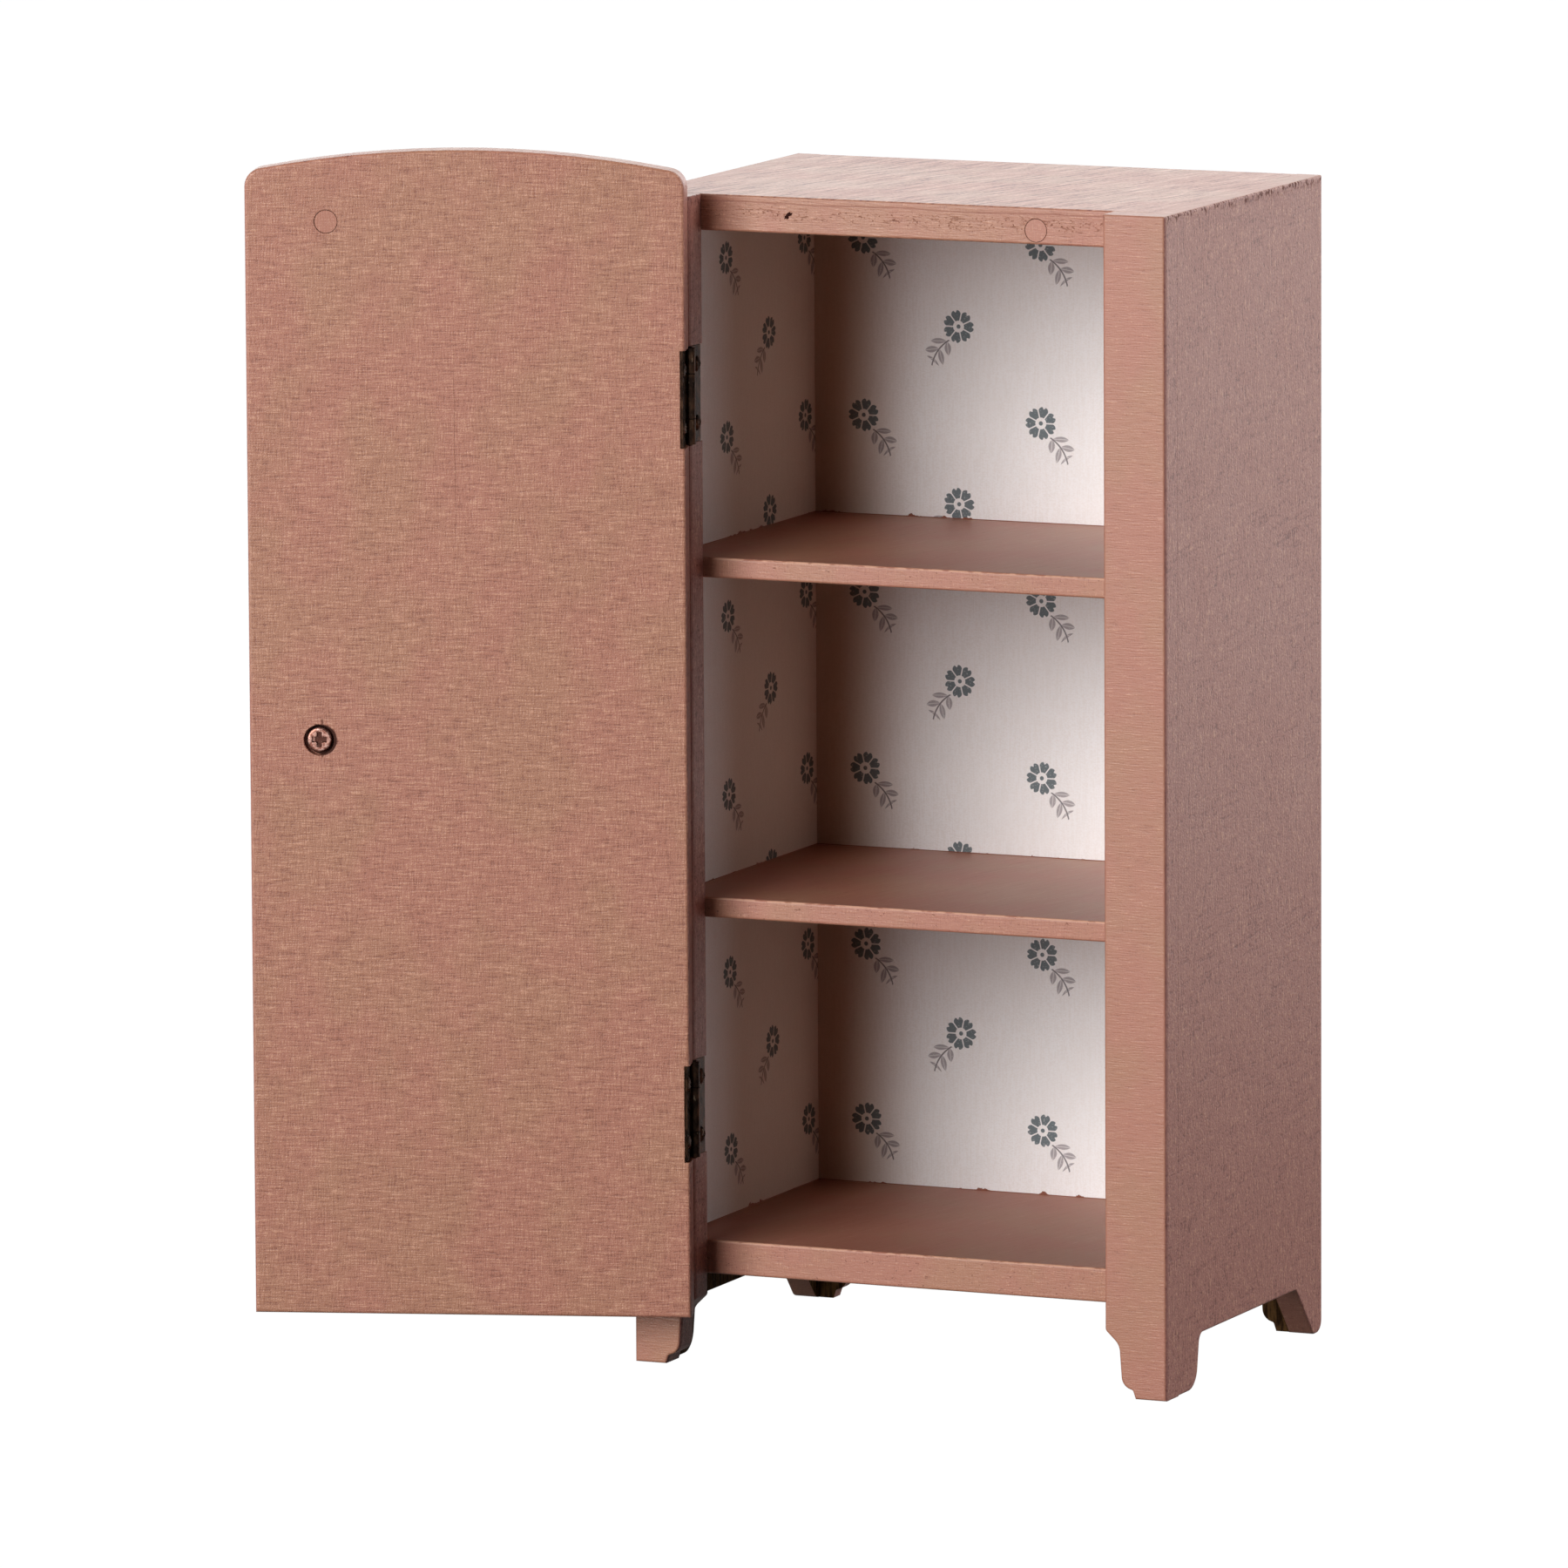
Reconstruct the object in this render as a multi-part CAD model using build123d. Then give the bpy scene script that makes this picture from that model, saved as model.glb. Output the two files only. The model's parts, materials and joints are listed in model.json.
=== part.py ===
from build123d import *
import os

# A dolls' house wardrobe: an open-fronted carcass on shaped feet, lined with paper,
# with one arched door that swings on two butt hinges and is kept shut by two magnets.
# Millimetres. +Z is up, the front faces -Y, and the door hangs on the stile at -X.
# It is drawn about the point on the floor under the middle of the carcass. The last lines
# move it to the row's origin, on the floor under the middle of the box round the open wardrobe.

# ---- Carcass ----
carcass_width = 107.6
carcass_depth = 77.5
carcass_height = 220.0
side_thickness = 5.0
stile_width = 12.2
stile_thickness = 6.0
back_thickness = 3.3
top_thickness = 6.8
bottom_thickness = 6.4
bottom_board_top = 23.0
shelf_thickness = 3.8
shelf_tops = {"lower_shelf": 88.0, "upper_shelf": 152.0}
paper_thickness = 0.2
edge_round = 0.45

# ---- Door ----
door_gap = 0.6
door_thickness = 5.8
door_bottom = 10.4
door_peak = 229.2
arch_radius = 205.0
arch_corner_round = 3.5
door_edge_round = 0.6
door_rest_angle = 162.0

# ---- Hinges ----
hinge_height = 18.0
hinge_centres = {"upper": 183.0, "lower": 48.9}
middle_knuckle_height = 8.3
knuckle_radius = 1.1
knuckle_gap = 0.1
pin_radius = 0.5
pin_clearance = 0.05
pin_overhang = 0.3
leaf_thickness = 0.5
leaf_reach = 6.2
axis_forward = 0.7
stile_rebate = 0.6
door_rebate = 1.0
rebate_margin = 0.1
hinge_screw_spacing = 11.0
hinge_screw_setback = 4.7
hinge_screw_radius = 0.6
hinge_screw_length = 5.0
hinge_head_radius = 1.5
hinge_head_height = 0.55
hinge_slot_width = 0.35
hinge_slot_depth = 0.25

# ---- Magnetic catch ----
magnet_radius = 2.1
magnet_length = 2.0
magnet_clearance = 0.1
magnet_x = 25.8
magnet_z = 215.8

# ---- Knob and its screw ----
knob_from_door_edge = 13.0
knob_z = 118.8
knob_radius = 3.8
knob_length = 8.5
knob_base_radius = 2.9
knob_neck_radius = 1.9
knob_screw_radius = 1.0
knob_screw_depth = 5.0
counterbore_radius = 2.85
counterbore_depth = 1.9
screw_head_radius = 2.3
screw_head_height = 1.4
screw_head_round = 0.4
cross_length = 2.8
cross_width = 1.0
cross_depth = 0.8

# ---- How far a cutting shape reaches past the surface it opens ----
cut_past = 1.0

# ---- Worked out from the sizes above ----
half_width = carcass_width / 2
front_y = -carcass_depth / 2
rear_y = carcass_depth / 2
board_front_y = front_y + stile_thickness
back_front_y = rear_y - back_thickness
inner_half_width = half_width - side_thickness
stile_inner_x = half_width - stile_width
top_underside = carcass_height - top_thickness
door_half_width = stile_inner_x - door_gap
hinge_axis_x = -stile_inner_x - stile_rebate + knuckle_radius
hinge_axis_y = front_y - axis_forward
hinge_axis = Axis((hinge_axis_x, hinge_axis_y, 0), (0, 0, 1))
knob_x = door_half_width - knob_from_door_edge


def block(low, high):
    """Box between two opposite corners."""
    size = [b - a for a, b in zip(low, high)]
    return Pos(*low) * Box(*size, align=(Align.MIN, Align.MIN, Align.MIN))


def cylinder_along_y(radius, y_start, y_end, x, z):
    """Cylinder along Y, from y_start to y_end."""
    disc = Pos(x, y_start, z) * Rot(X=-90) * Circle(radius)
    return extrude(disc, amount=y_end - y_start, dir=(0, 1, 0))


def mirrored(part):
    """The same piece on the other side of the wardrobe."""
    return mirror(part, about=Plane.YZ)


def open_door(part):
    """Turns a piece of the closed door to its open rest position."""
    return part.rotate(hinge_axis, -door_rest_angle)


# ---------------------------------------------------------------- uprights and feet

def rounded_face(corners):
    """Flat face from corners given as (across, height, rounding radius)."""
    face = make_face(Polyline([(x, z) for x, z, _ in corners], close=True))
    for x, z, rounding in corners:
        if rounding:
            corner = face.vertices().sort_by_distance((x, z))[0]
            face = fillet(corner, rounding)
    return face


def foot_corners(width, widening=0.0):
    """Inner edge of a bracket foot seen from the front, from its shoulder down to the floor.

    Across is measured in from the wardrobe's side.
    """
    return [
        (width, 12.6, 0.9),
        (9.45 + widening, 9.95, 3.0),
        (8.9 + widening, 2.3, 2.4),
        (6.75 + widening, 1.6, 0.5),
        (6.2 + widening, 0, 0),
    ]


def stand_up(face, thickness, y_front):
    """Upright slab on the right-hand side, from an outline measured in from the side."""
    slab = Rot(X=90) * mirror(extrude(face, amount=-thickness), about=Plane.YZ)
    return Pos(half_width, y_front, 0) * slab


def front_stile():
    """Right-hand front upright, whose lower end is a bracket foot."""
    outline = [(0, 0, 0), (0, carcass_height, 0), (stile_width, carcass_height, 0)]
    stile = stand_up(rounded_face(outline + foot_corners(stile_width)), stile_thickness, front_y)
    front_edges = stile.faces().sort_by(Axis.Y)[0].edges()
    top_outer_edge = stile.edges().filter_by(Axis.Y).group_by(Axis.Z)[-1].sort_by(Axis.X)[-1:]
    return fillet(front_edges + top_outer_edge, edge_round)


def side_panel():
    """Right-hand side, cut away between a front foot and a rear foot."""
    cut_height = 10.0
    outline = [
        (board_front_y, 0, 0),
        (front_y + 15.0, 0, 4.3),
        (front_y + 16.6, cut_height, 2.0),
        (rear_y - 13.1, cut_height, 1.5),
        (rear_y - 4.3, 0, 2.0),
        (rear_y, 0, 2.4),
        (rear_y, carcass_height, 0),
        (board_front_y, carcass_height, 0),
    ]
    face = Plane.YZ * rounded_face(outline)
    panel = Pos(inner_half_width, 0, 0) * extrude(face, amount=side_thickness, dir=(1, 0, 0))
    outer_edges = panel.faces().sort_by(Axis.X)[-1].edges()
    glued_edge = outer_edges.filter_by(Axis.Z).sort_by(Axis.Y)[0]
    return fillet(outer_edges - [glued_edge], edge_round)


def back_panel():
    """Thin back between the sides, standing on two shaped feet of its own."""
    foot = foot_corners(width=15.0, widening=1.8)
    arch_height = foot[0][1]
    outline = [
        (side_thickness, 0, 0),
        (side_thickness, top_underside, 0),
        (half_width, top_underside, 0),
        (half_width, arch_height, 0),
    ]
    right = stand_up(rounded_face(outline + foot), back_thickness, back_front_y)
    return right + mirrored(right)


# ------------------------------------------------------- boards and lining

def board(half_length, y_front, y_rear, underside, thickness):
    """Horizontal board with its two front edges rounded."""
    plain = block((-half_length, y_front, underside), (half_length, y_rear, underside + thickness))
    front_edges = plain.edges().filter_by(Axis.X).group_by(Axis.Y)[0]
    return fillet(front_edges, edge_round)


def top_board():
    """Top between the sides, with a pocket for the catch magnet in its front edge."""
    top = board(inner_half_width, board_front_y, rear_y, top_underside, top_thickness)
    rear_edge = top.edges().filter_by(Axis.X).group_by(Axis.Y)[-1].sort_by(Axis.Z)[-1:]
    top = fillet(rear_edge, edge_round)
    pocket_radius = magnet_radius + magnet_clearance
    pocket_end = board_front_y + magnet_length
    return top - cylinder_along_y(
        pocket_radius, board_front_y - cut_past, pocket_end, magnet_x, magnet_z
    )


# ---------------------------------------------------------------- hinges

def knuckle_heights(centre):
    """Heights where the frame leaf's two knuckles and the door leaf's one begin and end."""
    bottom = centre - hinge_height / 2
    top = centre + hinge_height / 2
    middle_low = centre - middle_knuckle_height / 2
    middle_high = centre + middle_knuckle_height / 2
    frame_spans = [(bottom, middle_low - knuckle_gap), (middle_high + knuckle_gap, top)]
    return frame_spans, [(middle_low, middle_high)]


def upright_cylinder(radius, low, high):
    """Cylinder on the hinge axis between two heights."""
    disc = Pos(hinge_axis_x, hinge_axis_y, low) * Circle(radius)
    return extrude(disc, amount=high - low)


def hinge_screw_places(centre):
    """Y and Z of the two screws in one leaf, with the door closed."""
    y = hinge_axis_y + hinge_screw_setback
    return [(y, centre + step * hinge_screw_spacing / 2) for step in (-1, 1)]


def hinge_leaf(centre, side):
    """One leaf of a closed hinge. side is -1 for the leaf on the stile and 1 for the door's."""
    frame_spans, door_spans = knuckle_heights(centre)
    own_spans, other_spans = (frame_spans, door_spans) if side < 0 else (door_spans, frame_spans)
    bottom = centre - hinge_height / 2
    outer_x = hinge_axis_x + side * knuckle_radius
    inner_x = outer_x - side * leaf_thickness
    leaf = block(
        (min(outer_x, inner_x), hinge_axis_y, bottom),
        (max(outer_x, inner_x), hinge_axis_y + leaf_reach, bottom + hinge_height),
    )
    for low, high in other_spans:
        leaf -= upright_cylinder(knuckle_radius + knuckle_gap, low - knuckle_gap, high + knuckle_gap)
    for low, high in own_spans:
        leaf += upright_cylinder(knuckle_radius, low, high)
    bore_radius = pin_radius if side < 0 else pin_radius + pin_clearance
    leaf -= upright_cylinder(bore_radius, bottom - cut_past, bottom + hinge_height + cut_past)
    for y, z in hinge_screw_places(centre):
        hole = Pos(outer_x - side * cut_past, y, z) * Rot(Y=90 * side) * Circle(hinge_screw_radius)
        leaf -= extrude(hole, amount=2 * cut_past, dir=(side, 0, 0))
    return leaf


def hinge_screw(y, z, side):
    """Round-headed screw that holds one leaf. side is -1 in the stile and 1 in the door."""
    leaf_face_x = hinge_axis_x + side * (knuckle_radius - leaf_thickness)
    sphere_radius = (hinge_head_radius ** 2 + hinge_head_height ** 2) / (2 * hinge_head_height)
    dome = Pos(Z=hinge_head_height - sphere_radius) * Sphere(sphere_radius)
    above_leaf = Box(4 * hinge_head_radius, 4 * hinge_head_radius, 2 * hinge_head_height)
    dome &= Pos(Z=hinge_head_height) * above_leaf
    shank_length = leaf_thickness + hinge_screw_length
    shank = Pos(Z=-shank_length / 2) * Cylinder(hinge_screw_radius, shank_length)
    slot_z = hinge_head_height - hinge_slot_depth / 2
    screw = dome + shank
    for turn in (0, 90):
        slot = Rot(Z=turn) * Box(2 * hinge_screw_radius, hinge_slot_width, hinge_slot_depth)
        screw -= Pos(Z=slot_z) * slot
    return Pos(leaf_face_x, y, z) * Rot(Y=-90 * side) * screw


def hinge_screws(centre, side):
    """The two screws in one leaf."""
    return Compound([hinge_screw(y, z, side).solid() for y, z in hinge_screw_places(centre)])


def hinge_pin(centre):
    """Pin through the knuckles, standing a little proud at both ends."""
    reach = hinge_height / 2 + pin_overhang
    pin = upright_cylinder(pin_radius, centre - reach, centre + reach)
    return fillet(pin.edges(), pin_radius / 3)


def cut_for_hinges(part, side):
    """Cuts the leaf rebates and screw pilots in the stile (side -1) or the door (side 1)."""
    leaf_seat_x = hinge_axis_x + side * knuckle_radius
    rebate = stile_rebate if side < 0 else door_rebate
    open_side_x = leaf_seat_x - side * (rebate + cut_past)
    reach = hinge_height / 2 + rebate_margin
    for centre in hinge_centres.values():
        part -= block(
            (min(leaf_seat_x, open_side_x), front_y - cut_past, centre - reach),
            (max(leaf_seat_x, open_side_x), board_front_y + cut_past, centre + reach),
        )
        for y, z in hinge_screw_places(centre):
            pilot = Pos(leaf_seat_x, y, z) * Rot(Y=90 * side) * Circle(hinge_screw_radius)
            part -= extrude(pilot, amount=hinge_screw_length, dir=(side, 0, 0))
    return part


# ---------------------------------------------------------------- door

def door_panel():
    """The closed door: arched top, hinge rebates, magnet pocket and screw counterbore."""
    w = door_half_width
    arch_end_z = door_peak - arch_radius + (arch_radius ** 2 - w ** 2) ** 0.5
    with BuildSketch(Plane.XZ) as outline:
        with BuildLine():
            Line((-w, door_bottom), (w, door_bottom))
            Line((w, door_bottom), (w, arch_end_z))
            ThreePointArc((w, arch_end_z), (0, door_peak), (-w, arch_end_z))
            Line((-w, arch_end_z), (-w, door_bottom))
        make_face()
        fillet(outline.vertices().group_by(Axis.Y)[-1], arch_corner_round)
    door = Pos(0, front_y, 0) * extrude(outline.sketch, amount=door_thickness, dir=(0, 1, 0))
    faces = door.faces().sort_by(Axis.Y)
    door = fillet(faces[0].edges() + faces[-1].edges(), door_edge_round)
    inner_y = front_y + door_thickness
    past_inner_y = inner_y + cut_past
    pocket_radius = magnet_radius + magnet_clearance
    pocket_floor_y = inner_y - magnet_length
    counterbore_floor_y = inner_y - counterbore_depth
    door -= cylinder_along_y(pocket_radius, pocket_floor_y, past_inner_y, magnet_x, magnet_z)
    door -= cylinder_along_y(counterbore_radius, counterbore_floor_y, past_inner_y, knob_x, knob_z)
    door -= cylinder_along_y(knob_screw_radius, front_y - cut_past, inner_y, knob_x, knob_z)
    return cut_for_hinges(door, 1)


def magnet(y_start):
    """Disc magnet facing along Y."""
    return cylinder_along_y(magnet_radius, y_start, y_start + magnet_length, magnet_x, magnet_z)


def door_knob():
    """Turned knob on the door's outer face, with a blind hole for its screw."""
    hole = knob_screw_radius
    foot_height = 0.7
    neck = (knob_neck_radius, 0.33 * knob_length)
    rim_height = 0.68 * knob_length
    cap_round = knob_length - rim_height
    cap_centre = (knob_radius - cap_round, rim_height)
    profile = [
        Line((hole, 0), (knob_base_radius, 0)),
        Line((knob_base_radius, 0), (knob_base_radius, foot_height)),
        ThreePointArc((knob_base_radius, foot_height), (knob_neck_radius + 0.3, 1.6), neck),
        Line(neck, (knob_radius, rim_height)),
        CenterArc(cap_centre, cap_round, 0, 90),
        Line((knob_radius - cap_round, knob_length), (0, knob_length)),
        Line((0, knob_length), (0, knob_screw_depth)),
        Line((0, knob_screw_depth), (hole, knob_screw_depth)),
        Line((hole, knob_screw_depth), (hole, 0)),
    ]
    knob = revolve(make_face(profile), axis=Axis.Y)
    return Pos(knob_x, front_y, knob_z) * Rot(Z=180) * knob


def knob_screw():
    """Pan-head cross-slot screw, from the counterbore through the door into the knob."""
    head_seat_y = front_y + door_thickness - counterbore_depth
    head_top_y = head_seat_y + screw_head_height
    head = cylinder_along_y(screw_head_radius, head_seat_y, head_top_y, knob_x, knob_z)
    head = fillet(head.edges().sort_by(Axis.Y)[-1:], screw_head_round)
    screw = head + cylinder_along_y(
        knob_screw_radius, front_y - knob_screw_depth, head_seat_y, knob_x, knob_z
    )
    for turn in (0, 90):
        slot = Rot(Y=turn) * Box(cross_length, cross_depth, cross_width)
        screw -= Pos(knob_x, head_top_y - cross_depth / 2, knob_z) * slot
    return screw


# ---------------------------------------------------------------- assembly

def carcass_parts():
    """Every piece that stands still, by name."""
    stile = front_stile()
    side = side_panel()
    paper_rear_y = back_front_y - paper_thickness
    paper_inner_x = inner_half_width - paper_thickness
    right_paper = block(
        (paper_inner_x, board_front_y, bottom_board_top),
        (inner_half_width, paper_rear_y, top_underside),
    )
    parts = {
        "right_stile": stile,
        "left_stile": cut_for_hinges(mirrored(stile), -1),
        "right_side_panel": side,
        "left_side_panel": mirrored(side),
        "back_panel": back_panel(),
        "top_board": top_board(),
        "bottom_board": board(
            inner_half_width, board_front_y, back_front_y,
            bottom_board_top - bottom_thickness, bottom_thickness,
        ),
        "right_lining_paper": right_paper,
        "left_lining_paper": mirrored(right_paper),
        "back_lining_paper": block(
            (-inner_half_width, paper_rear_y, bottom_board_top),
            (inner_half_width, back_front_y, top_underside),
        ),
        "frame_magnet": magnet(board_front_y),
    }
    for name, top in shelf_tops.items():
        parts[name] = board(
            paper_inner_x, board_front_y, paper_rear_y, top - shelf_thickness, shelf_thickness
        )
    for name, centre in hinge_centres.items():
        parts[f"{name}_hinge_frame_leaf"] = hinge_leaf(centre, -1)
        parts[f"{name}_hinge_frame_screws"] = hinge_screws(centre, -1)
        parts[f"{name}_hinge_pin"] = hinge_pin(centre)
    return parts


def door_parts():
    """Every piece that swings, by name, in the closed position."""
    parts = {
        "door_panel": door_panel(),
        "door_knob": door_knob(),
        "door_knob_screw": knob_screw(),
        "door_magnet": magnet(front_y + door_thickness - magnet_length),
    }
    for name, centre in hinge_centres.items():
        parts[f"{name}_hinge_door_leaf"] = hinge_leaf(centre, 1)
        parts[f"{name}_hinge_door_screws"] = hinge_screws(centre, 1)
    return parts


def wardrobe():
    """Every piece by name, with the door at its open rest position."""
    parts = carcass_parts()
    for name, part in door_parts().items():
        parts[name] = open_door(part)
    return parts


def move_to_row_origin(parts):
    """The pieces moved so that the middle of the box round them all is above the origin."""
    boxes = [part.bounding_box() for part in parts.values()]
    middle_x = (min(box.min.X for box in boxes) + max(box.max.X for box in boxes)) / 2
    middle_y = (min(box.min.Y for box in boxes) + max(box.max.Y for box in boxes)) / 2
    move = Pos(-round(middle_x, 2), -round(middle_y, 2), 0)
    return {name: move * part for name, part in parts.items()}


os.makedirs("parts", exist_ok=True)
for name, part in move_to_row_origin(wardrobe()).items():
    export_step(part, f"parts/{name}.step")
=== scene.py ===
import json
import math

import bpy
from mathutils import Matrix, Vector


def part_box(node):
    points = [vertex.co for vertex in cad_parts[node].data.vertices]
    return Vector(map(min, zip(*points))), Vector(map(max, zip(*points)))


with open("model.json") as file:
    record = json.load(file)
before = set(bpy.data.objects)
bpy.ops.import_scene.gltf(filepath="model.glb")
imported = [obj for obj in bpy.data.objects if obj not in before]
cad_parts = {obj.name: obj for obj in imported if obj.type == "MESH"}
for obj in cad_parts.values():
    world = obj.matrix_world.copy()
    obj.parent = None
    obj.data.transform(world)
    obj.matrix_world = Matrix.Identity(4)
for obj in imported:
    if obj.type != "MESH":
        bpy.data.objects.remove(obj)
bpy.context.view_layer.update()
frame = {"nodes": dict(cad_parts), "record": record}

# Looks of a dolls' house wardrobe: brushed terracotta paint over wood, a printed paper
# lining, aged brass hinges, and a soft studio round it. The finishes are worked out on the
# surfaces in millimetres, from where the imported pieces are.

MM = 0.001


# ---------------------------------------------------------------- where things are

def low(node):
    """Lowest corner of a piece at rest, in millimetres."""
    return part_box(node)[0] / MM


def high(node):
    """Highest corner of a piece at rest, in millimetres."""
    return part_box(node)[1] / MM


front_y = low("right_stile").y
rear_y = high("back_panel").y
stile_rear_y = high("right_stile").y
middle_x = (low("top_board").x + high("top_board").x) / 2
half_width = high("right_stile").x - middle_x
height = high("right_stile").z
top_middle_z = (low("top_board").z + high("top_board").z) / 2
boards = ["bottom_board", "lower_shelf", "upper_shelf"]
frame_leaves = ["upper_hinge_frame_leaf", "lower_hinge_frame_leaf"]

hinge = next(j for j in frame["record"]["behaviour"]["joints"] if j["name"] == "door_hinge")
hinge_place = Vector(hinge["pos_m"]) / MM
door_open_angle = math.radians(-hinge["range_deg"][0])


def closed_place(point):
    """Where a point of the open door is when the door is closed."""
    turn = Matrix.Rotation(door_open_angle, 3, "Z")
    return turn @ (Vector(point) - hinge_place) + hinge_place


def middle(node):
    """Middle of a piece's box at rest, in millimetres."""
    return (low(node) + high(node)) / 2


def closed_points(node):
    """Every point of a piece of the door, with the door closed."""
    return [closed_place(vertex.co / MM) for vertex in frame["nodes"][node].data.vertices]


knob_place = closed_place(middle("door_knob_screw"))
screw_top = max(point.y for point in closed_points("door_knob_screw"))
door_middle = closed_place(middle("door_panel"))


# ---------------------------------------------------------------- colours

def srgb(red, green, blue):
    """Linear colour from screen values between 0 and 255."""
    def linear(value):
        value /= 255
        return value / 12.92 if value <= 0.04045 else ((value + 0.055) / 1.055) ** 2.4
    return (linear(red), linear(green), linear(blue), 1.0)


terracotta = srgb(178, 123, 103)
terracotta_light = srgb(214, 160, 133)
terracotta_dark = srgb(139, 86, 69)
terracotta_pink = srgb(181, 121, 101)
terracotta_brown = srgb(178, 125, 100)
# Rosier paint that stands in for the sheen on faces that look sideways.
painted_sheen_rosy = srgb(176, 118, 106)
# Pale paint for a painted highlight along the boards' front top edges.
painted_edge_highlight = srgb(240, 192, 164)
grain_brown = srgb(122, 70, 67)
pit_brown = srgb(84, 46, 36)
# Near black for painted shade in hollows: the hinge rebates, the chip and the counterbore.
hollow_shade_black = srgb(46, 18, 12)
raw_wood = srgb(108, 78, 38)
raw_wood_dark = srgb(58, 36, 18)
cream = srgb(251, 249, 249)
cream_shade = srgb(244, 240, 238)
petal_ink = srgb(112, 122, 126)
sprig_ink = srgb(158, 150, 154)
stem_ink = srgb(112, 106, 110)
bronze = srgb(76, 53, 38)
bronze_bright = srgb(190, 168, 142)
bronze_black = srgb(35, 22, 15)
copper = srgb(216, 172, 158)
copper_dark = srgb(150, 96, 82)
# Brown that is multiplied in as painted shade, in the dark rear left corner and on the boards.
painted_shade_brown = (0.48, 0.31, 0.21, 1.0)


# ---------------------------------------------------------------- material arithmetic

class Field:
    """A value that varies over a surface. Arithmetic on it adds Math nodes to its material."""

    def __init__(self, tree, socket):
        self.tree = tree
        self.socket = socket

    def operate(self, operation, *others):
        node = self.tree.nodes.new("ShaderNodeMath")
        node.operation = operation
        for value, socket in zip((self, *others), node.inputs):
            plug(self.tree, value, socket)
        return Field(self.tree, node.outputs[0])

    def __add__(self, other):
        return self.operate("ADD", other)

    def __sub__(self, other):
        return self.operate("SUBTRACT", other)

    def __mul__(self, other):
        return self.operate("MULTIPLY", other)

    def __truediv__(self, other):
        return self.operate("DIVIDE", other)

    def __rsub__(self, other):
        return self * -1 + other

    def __abs__(self):
        return self.operate("ABSOLUTE")

    __radd__ = __add__
    __rmul__ = __mul__


def plug(tree, value, socket):
    """Joins a field, or sets a plain number, vector or colour, on a node's input."""
    if isinstance(value, Field):
        tree.links.new(value.socket, socket)
    else:
        socket.default_value = value


def ramp(value, start, end):
    """0 where the field is at start, 1 where it is at end, and smooth in between."""
    node = value.tree.nodes.new("ShaderNodeMapRange")
    node.interpolation_type = "SMOOTHSTEP"
    plug(value.tree, value, node.inputs["Value"])
    node.inputs["From Min"].default_value = min(start, end)
    node.inputs["From Max"].default_value = max(start, end)
    if start > end:
        node.inputs["To Min"].default_value = 1.0
        node.inputs["To Max"].default_value = 0.0
    return Field(value.tree, node.outputs["Result"])


def band(value, start, end, soft):
    """1 while the field is between start and end, with soft edges."""
    return ramp(value, start - soft, start + soft) * ramp(value, end + soft, end - soft)


def largest(first, *others):
    """The largest of several fields."""
    for other in others:
        first = first.operate("MAXIMUM", other)
    return first


def length(across, up):
    """Distance from the point where both fields are 0."""
    return (across * across + up * up).operate("SQRT")


shift_shares = (1.0, 0.7, 1.3)
bevel_samples = 4


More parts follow.
